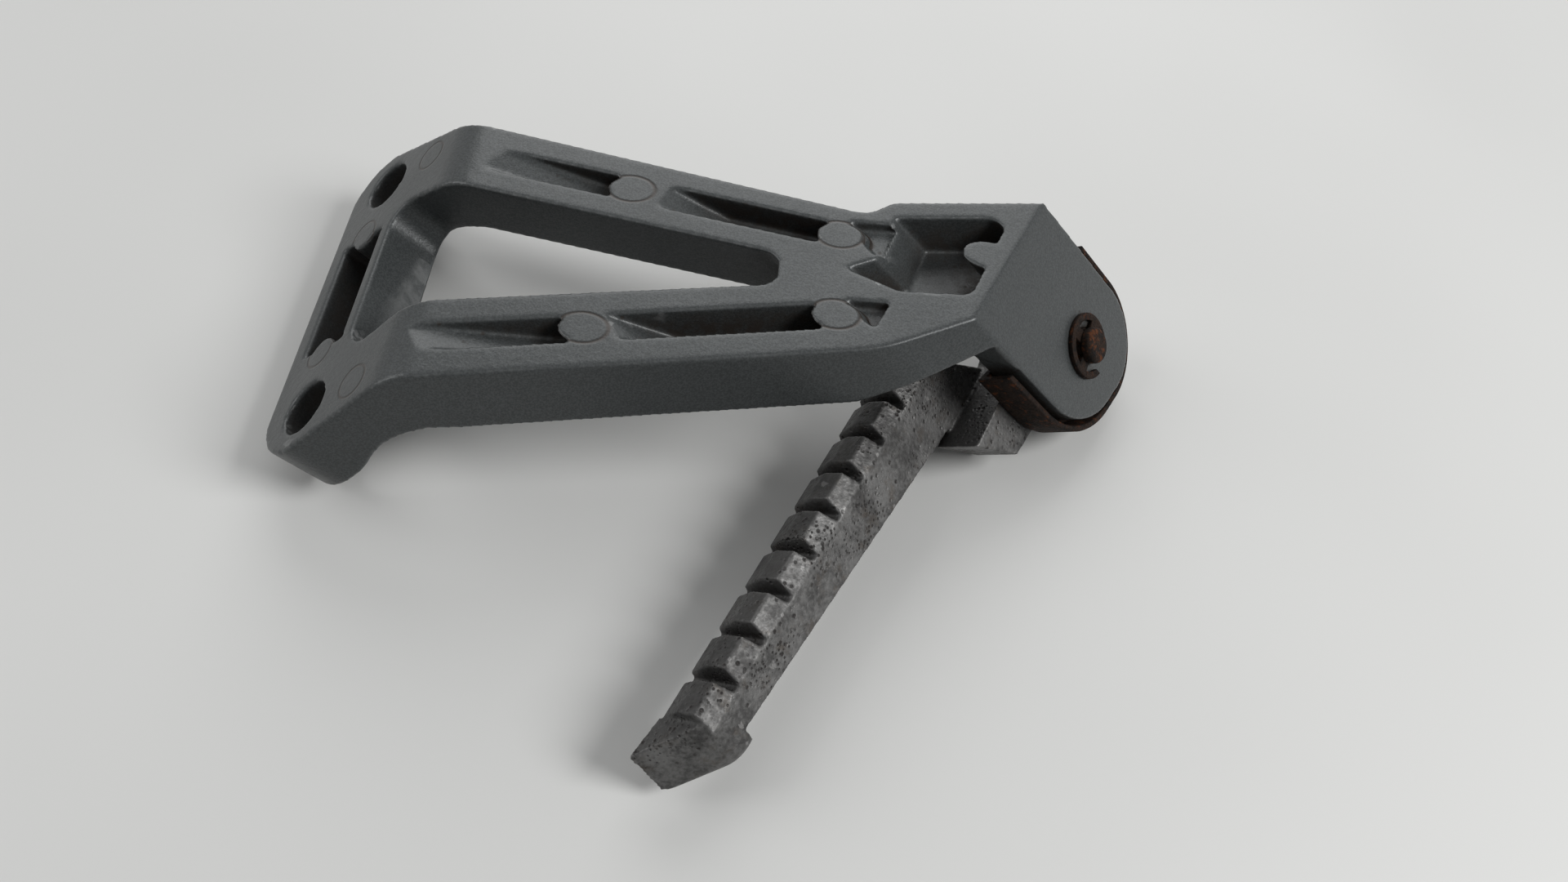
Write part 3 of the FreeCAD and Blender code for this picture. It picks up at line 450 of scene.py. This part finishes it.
def grey_paint(name):
    """Flaked paint, edges worn and with a painted highlight, grime and painted shade in recesses, ring
    marks.
    """
    finish = Finish(name)
    flake = finish.noise(FLAKE_GRAIN, detail=2.0)
    skin = finish.noise(SKIN_GRAIN, detail=4.0)
    cloud = finish.noise(SHEEN_GRAIN)
    colour = finish.blend(finish.span(flake, low=0.34, high=0.68), PAINT_DARK, PAINT_LIGHT)
    # Outer edges are painted lighter: partly paint rubbed through, partly a painted highlight on the rounded
    # edges.
    edge_patches = finish.noise(EDGE_PATCH_GRAIN, detail=5.0)
    edge_patches = finish.span(edge_patches, low=0.38, high=0.62, to_low=0.25, to_high=0.85)
    worn_and_highlit = finish.times(edge_patches, finish.ridge(low=0.515, high=0.56))
    colour = finish.blend(worn_and_highlit, colour, EDGE_METAL_AND_HIGHLIGHT)

    # Grooves and pockets are painted darker along occlusion masks: partly grime, partly painted shade.
    hollow = finish.crevice(GROOVE_REACH)
    patch = finish.span(finish.noise(GRIME_GRAIN, detail=5.0), low=0.36, high=0.62)
    film = finish.times(finish.span(hollow, low=0.30, high=0.80), finish.times(patch, FILM_SHARE))
    spots = finish.specks(SPOT_SPACING, SPOT_SIZE, SPOT_CLUSTER, low=0.46, high=0.56)
    spots = finish.times(spots, finish.span(hollow, low=0.08, high=0.25))
    deep = finish.span(finish.crevice(POCKET_REACH), low=0.42, high=0.72)
    deep = finish.times(deep, finish.span(patch, low=0.0, high=1.0, to_low=0.45, to_high=0.95))
    # The painted shade of the recesses and the dirt specks, joined into one darkening mask.
    grime_and_shade = finish.math("MAXIMUM", deep, finish.math("MAXIMUM", film, spots))
    colour = finish.blend(grime_and_shade, colour, RECESS_GRIME_AND_SHADE)
    marks = ring_marks(finish)
    colour = finish.blend(finish.times(marks, MARK_SHARE), colour, RECESS_GRIME_AND_SHADE)

    sheen = finish.span(cloud, low=0.3, high=0.7, to_low=0.30, to_high=0.38)
    height = finish.math("ADD", finish.times(flake, FLAKE_HEIGHT), skin)
    height = finish.math("SUBTRACT", height, finish.times(marks, MARK_DEPTH))
    finish.shade("Base Color", colour)
    finish.shade("Roughness", finish.math("ADD", sheen, finish.times(grime_and_shade, GRIME_DULLNESS)))
    finish.shade("Metallic", 0.15)
    finish.shade("Specular IOR Level", 0.4)
    finish.relief(height, PAINT_RELIEF, strength=0.40)
    return finish.material


casting.data.materials.append(grey_paint("bracket_satin_paint"))
print("painted", casting.name)

# %% [markdown]
# ## Bare, weathered aluminium
# The peg was never painted, or has lost all of it. Its skin is a cloudy dull grey with brown stains, darker
# on the faces that look along the tread side and brighter on its rubbed edges, with many small dark pits,
# most of them in clusters. Its notches get painted shade in the pit colour. The pits are Voronoi cells kept
# only where a coarser noise allows them.

# %% Peg alloy
ALLOY_DARK = rgb(0.044, 0.043, 0.042)
ALLOY_LIGHT = rgb(0.140, 0.138, 0.135)
ALLOY_RUBBED = rgb(0.26, 0.255, 0.25)
ALLOY_TREAD_SIDE_DARK = rgb(0.050, 0.049, 0.048)
STAIN = rgb(0.060, 0.047, 0.036)
PIT_AND_NOTCH_SHADE = rgb(0.016, 0.013, 0.012)
TREAD_SIDE = (-math.sin(BEND), 0, math.cos(BEND))
CLOUD_GRAIN = 6 * MM
GRIT_GRAIN = 0.7 * MM
STAIN_GRAIN = 3.2 * MM
PIT_SPACING = 1.3 * MM
PIT_SIZE = 0.32
PIT_CLUSTER = 5 * MM
FINE_PIT_SPACING = 0.7 * MM
FINE_PIT_SIZE = 0.36
FINE_PIT_CLUSTER = 9 * MM
NOTCH_REACH = 3 * MM
ALLOY_RELIEF = 0.18 * MM
PIT_DEPTH = 1.6
CLOUD_SHARE = 0.65
STAIN_SHARE = 0.55
TREAD_SIDE_DARK_SHARE = 0.6
RUBBED_SHARE = 0.5
NOTCH_SHARE = 0.8


def cast_alloy(name):
    """Dull cast aluminium with stains, pits, darker faces on the tread side, rubbed edges and painted shade
    in the notches.
    """
    finish = Finish(name)
    cloud = finish.noise(CLOUD_GRAIN, detail=6.0, roughness=0.65)
    grit = finish.noise(GRIT_GRAIN, detail=4.0)
    tone = finish.math("ADD", finish.times(cloud, CLOUD_SHARE), finish.times(grit, 1 - CLOUD_SHARE))
    colour = finish.blend(finish.span(tone, low=0.36, high=0.62), ALLOY_DARK, ALLOY_LIGHT)
    stains = finish.span(finish.noise(STAIN_GRAIN, detail=7.0, roughness=0.7), low=0.52, high=0.68)
    colour = finish.blend(finish.times(stains, STAIN_SHARE), colour, STAIN)
    # Faces that look along TREAD_SIDE are painted darker.
    tread_side_dark = finish.facing(TREAD_SIDE, low=0.30, high=0.75)
    colour = finish.blend(finish.times(tread_side_dark, TREAD_SIDE_DARK_SHARE), colour, ALLOY_TREAD_SIDE_DARK)

    pits = finish.specks(PIT_SPACING, PIT_SIZE, PIT_CLUSTER, low=0.44, high=0.58)
    fine_pits = finish.specks(FINE_PIT_SPACING, FINE_PIT_SIZE, FINE_PIT_CLUSTER, low=0.46, high=0.60)
    pits = finish.math("MAXIMUM", pits, fine_pits)
    colour = finish.blend(pits, colour, PIT_AND_NOTCH_SHADE)
    rubbed = finish.ridge(low=0.52, high=0.58)
    colour = finish.blend(finish.times(rubbed, RUBBED_SHARE), colour, ALLOY_RUBBED)
    # Notches and recesses of the peg are painted darker in the pit colour: painted shade.
    grime_and_shade = finish.span(finish.crevice(NOTCH_REACH), low=0.35, high=0.9)
    colour = finish.blend(finish.times(grime_and_shade, NOTCH_SHARE), colour, PIT_AND_NOTCH_SHADE)

    height = finish.math("SUBTRACT", finish.math("ADD", grit, cloud), finish.times(pits, PIT_DEPTH))
    finish.shade("Base Color", colour)
    finish.shade("Roughness", finish.span(tone, low=0.3, high=0.7, to_low=0.62, to_high=0.42))
    finish.shade("Metallic", 0.6)
    finish.relief(height, ALLOY_RELIEF, strength=0.7)
    return finish.material


peg.data.materials.append(cast_alloy("peg_weathered_alloy"))
print("finished", peg.name)

# %% [markdown]
# ## Rust
# The pin, the clip and the plate are plain steel and have rusted brown all over. Old rust is nearly black,
# new rust orange, and the mix changes from piece to piece, so one function makes them all, each with its own
# share of fresh rust. The ball and the spring are greased and stay bright.

# %% Rusty steel
RUST_OLD = rgb(0.005, 0.004, 0.0035)
RUST_BROWN = rgb(0.019, 0.011, 0.0075)
RUST_FRESH = rgb(0.090, 0.030, 0.011)
SCALE_GRAIN = 1.6 * MM
POWDER_GRAIN = 0.35 * MM
BLOOM_GRAIN = 1.1 * MM
RUST_RELIEF = 0.12 * MM
BLOOM_LOW = 0.62
BLOOM_HIGH = 0.76
BLOOM_SHARE = 0.8
PIN_FRESH = 0.12
CLIP_FRESH = 0.05
PLATE_FRESH = 0.06


def rusty_steel(name, fresh):
    """Brown rust, with more orange in it where the share of fresh rust is larger."""
    finish = Finish(name)
    broad = finish.noise(SCALE_GRAIN, detail=6.0, roughness=0.65)
    fine = finish.noise(POWDER_GRAIN, detail=4.0)
    colour = finish.blend(finish.span(broad, low=0.36, high=0.60), RUST_OLD, RUST_BROWN)
    bloom = finish.span(finish.noise(BLOOM_GRAIN, detail=5.0), BLOOM_LOW - fresh, BLOOM_HIGH - fresh)
    colour = finish.blend(finish.times(bloom, BLOOM_SHARE), colour, RUST_FRESH)
    finish.shade("Base Color", colour)
    finish.shade("Roughness", finish.span(fine, low=0.3, high=0.7, to_low=0.62, to_high=0.88))
    finish.shade("Specular IOR Level", 0.12)
    finish.relief(finish.math("ADD", fine, broad), RUST_RELIEF, strength=0.9)
    return finish.material


pin.data.materials.append(rusty_steel("pin_rust", PIN_FRESH))
clip.data.materials.append(rusty_steel("clip_rust", CLIP_FRESH))
plate.data.materials.append(rusty_steel("plate_rust", PLATE_FRESH))
print("rusted", pin.name, clip.name, plate.name)

# %% Greased steel
STEEL_DARK = rgb(0.30, 0.29, 0.27)
STEEL_BRIGHT = rgb(0.46, 0.46, 0.45)
GREASE_GRAIN = 0.8 * MM
GREASE_RELIEF = 0.02 * MM


def greased_steel(name):
    """Bright steel under a thin film of grease."""
    finish = Finish(name)
    film = finish.noise(GREASE_GRAIN, detail=4.0)
    colour = finish.blend(finish.span(film, low=0.35, high=0.65), STEEL_DARK, STEEL_BRIGHT)
    finish.shade("Base Color", colour)
    finish.shade("Roughness", finish.span(film, low=0.3, high=0.7, to_low=0.22, to_high=0.38))
    finish.shade("Metallic", 1.0)
    finish.relief(film, GREASE_RELIEF, strength=0.4)
    return finish.material


for node, name in ((ball, "ball_greased"), (spring, "spring_greased")):
    node.data.materials.clear()
    node.data.materials.append(greased_steel(name))
print("greased", ball.name, spring.name)

# %% [markdown]
# ## Table, light and view
# The part lies on a pale table and touches it in three places: both lower corners of the bolt pad, and the
# peg's eye. The plane through them leans about three degrees against the level arms, so the table is turned
# by that much and set a hair below them. Soft daylight comes from the right, with a weaker window on the
# left and a pale wall behind. The camera stands where the picture was taken: in front of the peg, looking
# down at about 56 degrees with a wide lens.

# %% Pale table
TABLE_LEAN = math.radians(3.26)
TABLE_LEVEL = -14.0 * MM
TABLE_SIZE = 1.8
TABLE_GREY = rgb(0.610, 0.612, 0.600)
TABLE_PALE = rgb(0.645, 0.647, 0.635)
TABLE_GRAIN = 160 * MM

bpy.ops.object.select_all(action="DESELECT")
table_place = (0, 0, TABLE_LEVEL)
bpy.ops.mesh.primitive_grid_add(size=TABLE_SIZE, location=table_place, rotation=(0, TABLE_LEAN, 0))
table = bpy.context.active_object
table.name = "table_top"
enamel = Finish("table_enamel")
cloud = enamel.span(enamel.noise(TABLE_GRAIN, detail=2.0), low=0.3, high=0.7)
enamel.shade("Base Color", enamel.blend(cloud, TABLE_GREY, TABLE_PALE))
enamel.shade("Roughness", 0.45)
enamel.shade("Specular IOR Level", 0.3)
table.data.materials.append(enamel.material)
print("table leans", round(math.degrees(TABLE_LEAN), 2), "degrees")

# %% Soft daylight
LIT_PLACE = Vector((60 * MM, 0, 0))


def soft_lamp(name, place, size, watts):
    """A round area lamp that looks at the middle of the part; place and size are in metres."""
    bpy.ops.object.light_add(type="AREA", location=place)
    lamp = bpy.context.active_object
    lamp.name = name
    lamp.data.shape = "DISK"
    lamp.data.size = size
    lamp.data.energy = watts
    lamp.rotation_euler = (LIT_PLACE - lamp.location).to_track_quat("-Z", "Y").to_euler()
    print(name, watts, "W")


soft_lamp("right_window", (0.72, -0.12, 0.56), size=0.42, watts=5.4)
soft_lamp("left_window", (-0.62, 0.06, 0.62), size=0.6, watts=2.3)
soft_lamp("back_glow", (0.05, 1.0, 0.66), size=1.1, watts=6.6)
bpy.context.scene.view_settings.view_transform = "Standard"

# %% Dim sky light with a pale look
SKY_LIGHT = 0.17
SKY_LOOK = 0.62
SKY_COLOUR = rgb(0.98, 0.99, 1.0)

world = bpy.data.worlds.new("daylight")
bpy.context.scene.world = world
world.use_nodes = True
sky = world.node_tree
ray = sky.nodes.new("ShaderNodeLightPath")
seen = ray.outputs["Is Camera Ray"]
for kind in ("Is Glossy Ray", "Is Transmission Ray"):
    either = sky.nodes.new("ShaderNodeMath")
    either.operation = "MAXIMUM"
    sky.links.new(seen, either.inputs[0])
    sky.links.new(ray.outputs[kind], either.inputs[1])
    seen = either.outputs[0]
strength = sky.nodes.new("ShaderNodeMapRange")
sky.links.new(seen, strength.inputs["Value"])
strength.inputs["To Min"].default_value = SKY_LIGHT
strength.inputs["To Max"].default_value = SKY_LOOK
sky.links.new(strength.outputs[0], sky.nodes["Background"].inputs["Strength"])
sky.nodes["Background"].inputs["Color"].default_value = SKY_COLOUR
print("sky light", SKY_LIGHT, "and look", SKY_LOOK)

# %% Camera
CAMERA_PLACE = Vector((67.3, -122.1, 150.3)) * MM
CAMERA_TILT = math.radians(34.045)
CAMERA_ROLL = math.radians(-4.315)
CAMERA_TURN = math.radians(4.703)
LENS = 28.14
SENSOR_WIDTH = 36.0
NEAR_CLIP = 0.005

camera = bpy.data.objects.new("camera", bpy.data.cameras.new("camera"))
bpy.context.scene.collection.objects.link(camera)
camera_turn = Euler((CAMERA_TILT, CAMERA_ROLL, CAMERA_TURN))
camera.matrix_world = Matrix.LocRotScale(CAMERA_PLACE, camera_turn, None)
camera.data.lens = LENS
camera.data.sensor_width = SENSOR_WIDTH
camera.data.clip_start = NEAR_CLIP
bpy.context.scene.camera = camera
print("camera looks down", round(90 - math.degrees(CAMERA_TILT)), "degrees")
